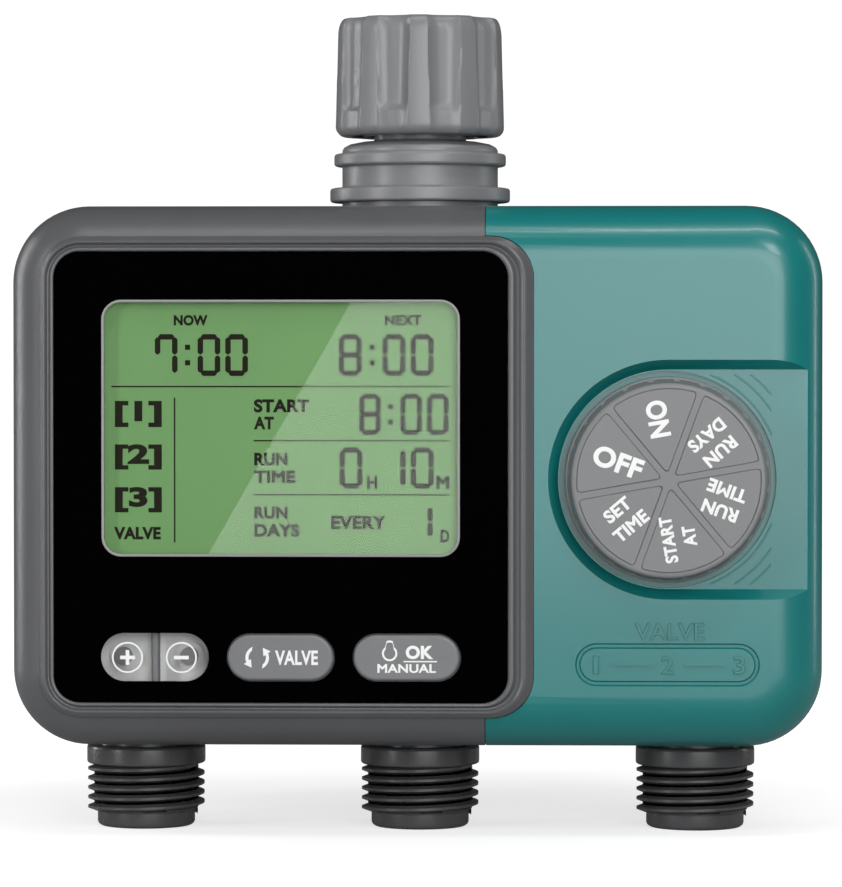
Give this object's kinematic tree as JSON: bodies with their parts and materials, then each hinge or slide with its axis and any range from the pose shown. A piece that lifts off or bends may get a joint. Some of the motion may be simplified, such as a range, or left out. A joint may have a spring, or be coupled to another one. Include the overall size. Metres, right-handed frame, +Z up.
{
  "type": "drip irrigation timer",
  "caption": "Tap-mounted drip irrigation timer with a display, keys, a selector dial, a swivel inlet nut and threaded outlets below.",
  "frame": {"origin": "centre of the inlet washer's sealing face, inside the coupling nut", "axes": "+Z up along the inlet, out of the nut's mouth; the display faces -Y; +X to the right of someone facing it"},
  "size_m": [0.183, 0.0785, 0.1861],
  "materials": {
    "grey_shell": "fine moulded texture",
    "teal_shell": "fine moulded texture",
    "black_panel": "satin black",
    "trim_grey": "satin",
    "clear_lens": "clear acrylic",
    "lcd": "liquid crystal glass",
    "white_plastic": "moulded",
    "key_grey": "satin",
    "silicone": "soft",
    "board_green": "solder resist",
    "switch_black": "moulded",
    "screw_steel": "zinc plated",
    "dial_grey": "satin",
    "nylon_white": "moulded",
    "seal_rubber": "moulded",
    "box_grey": "moulded",
    "cell_wrap": "printed film",
    "contact_metal": "nickel plated",
    "nut_grey": "fine grain",
    "stem_grey": "satin",
    "filter_mesh": "woven",
    "manifold_black": "glass-filled nylon",
    "bonnet_grey": "glass-filled nylon",
    "coil_black": "encapsulated",
    "plunger_steel": "ground",
    "outlet_grey": "fine grain",
    "lead_red": "insulated"
  },
  "bodies": {
    "case": {"battery_1": "cell_wrap", "battery_2": "cell_wrap", "battery_3": "cell_wrap", "battery_4": "cell_wrap", "battery_box": "box_grey", "battery_contacts": "contact_metal", "board_screws": "screw_steel", "bonnet_left": "bonnet_grey", "bonnet_middle": "bonnet_grey", "bonnet_right": "bonnet_grey", "bonnet_screws": "screw_steel", "control_board": "board_green", "control_panel": "black_panel", "cover_screws": "screw_steel", "cover_seal": "seal_rubber", "dial_seal": "seal_rubber", "diaphragm_left": "seal_rubber", "diaphragm_middle": "seal_rubber", "diaphragm_right": "seal_rubber", "display_carrier": "white_plastic", "display_lens": "clear_lens", "display_light": "white_plastic", "door_gasket": "seal_rubber", "door_hinge_pin": "plunger_steel", "filter_screen": "filter_mesh", "front_cover_grey": "grey_shell", "front_cover_teal": "teal_shell", "inlet_stem": "stem_grey", "inlet_washer": "seal_rubber", "key_switches": "switch_black", "keypad_seal": "silicone", "lcd_glass": "lcd", "manifold": "manifold_black", "outlet_left": "outlet_grey", "outlet_middle": "outlet_grey", "outlet_right": "outlet_grey", "outlet_seals": "seal_rubber", "plunger_spring_left": "contact_metal", "plunger_spring_middle": "contact_metal", "plunger_spring_right": "contact_metal", "rear_cover": "grey_shell", "rotary_switch": "switch_black", "solenoid_coil_left": "coil_black", "solenoid_coil_middle": "coil_black", "solenoid_coil_right": "coil_black", "stem_seal": "seal_rubber", "valve_leads": "lead_red", "window_trim": "trim_grey"},
    "swivel_nut": {"coupling_nut": "nut_grey"},
    "selector_dial": {"dial_knob": "dial_grey", "dial_spindle": "nylon_white"},
    "rocker_key": {"key_plus_minus": "key_grey"},
    "zone_key": {"key_zone": "key_grey"},
    "ok_key": {"key_ok": "key_grey"},
    "battery_hatch": {"battery_door": "grey_shell", "door_screw": "nylon_white"},
    "plunger_left_body": {"plunger_left": "plunger_steel"},
    "plunger_middle_body": {"plunger_middle": "plunger_steel"},
    "plunger_right_body": {"plunger_right": "plunger_steel"}
  },
  "joints": [
    {"name": "nut_swivel", "type": "hinge", "parent": "case", "child": "swivel_nut", "pos_m": [0, 0, 0], "axis": [0, 0, 1], "continuous": true},
    {"name": "dial_turn", "type": "hinge", "parent": "case", "child": "selector_dial", "pos_m": [0.0565, -0.034, -0.0941], "axis": [0, 1, 0], "continuous": true},
    {"name": "rocker_tilt", "type": "hinge", "parent": "case", "child": "rocker_key", "pos_m": [-0.05842, -0.0314, -0.134], "axis": [0, 0, 1], "range_deg": [-3, 3], "stiffness_Nm_per_rad": 0.3, "deforming": ["keypad_seal"]},
    {"name": "zone_press", "type": "slide", "parent": "case", "child": "zone_key", "axis": [0, 1, 0], "range_m": [0, 0.001], "stiffness_N_per_m": 1500, "springref_m": -0.0004, "deforming": ["keypad_seal"]},
    {"name": "ok_press", "type": "slide", "parent": "case", "child": "ok_key", "axis": [0, 1, 0], "range_m": [0, 0.001], "stiffness_N_per_m": 1500, "springref_m": -0.0004, "deforming": ["keypad_seal"]},
    {"name": "door_swing", "type": "hinge", "parent": "case", "child": "battery_hatch", "pos_m": [0.0051, 0.0346, -0.07715], "axis": [0, 0, 1], "range_deg": [0, 110]},
    {"name": "plunger_left_lift", "type": "slide", "parent": "case", "child": "plunger_left_body", "axis": [0, 1, 0], "range_m": [0, 0.002], "stiffness_N_per_m": 300, "springref_m": -0.003, "deforming": ["plunger_spring_left"]},
    {"name": "plunger_middle_lift", "type": "slide", "parent": "case", "child": "plunger_middle_body", "axis": [0, 1, 0], "range_m": [0, 0.002], "stiffness_N_per_m": 300, "springref_m": -0.003, "deforming": ["plunger_spring_middle"]},
    {"name": "plunger_right_lift", "type": "slide", "parent": "case", "child": "plunger_right_body", "axis": [0, 1, 0], "range_m": [0, 0.002], "stiffness_N_per_m": 300, "springref_m": -0.003, "deforming": ["plunger_spring_right"]}
  ]
}
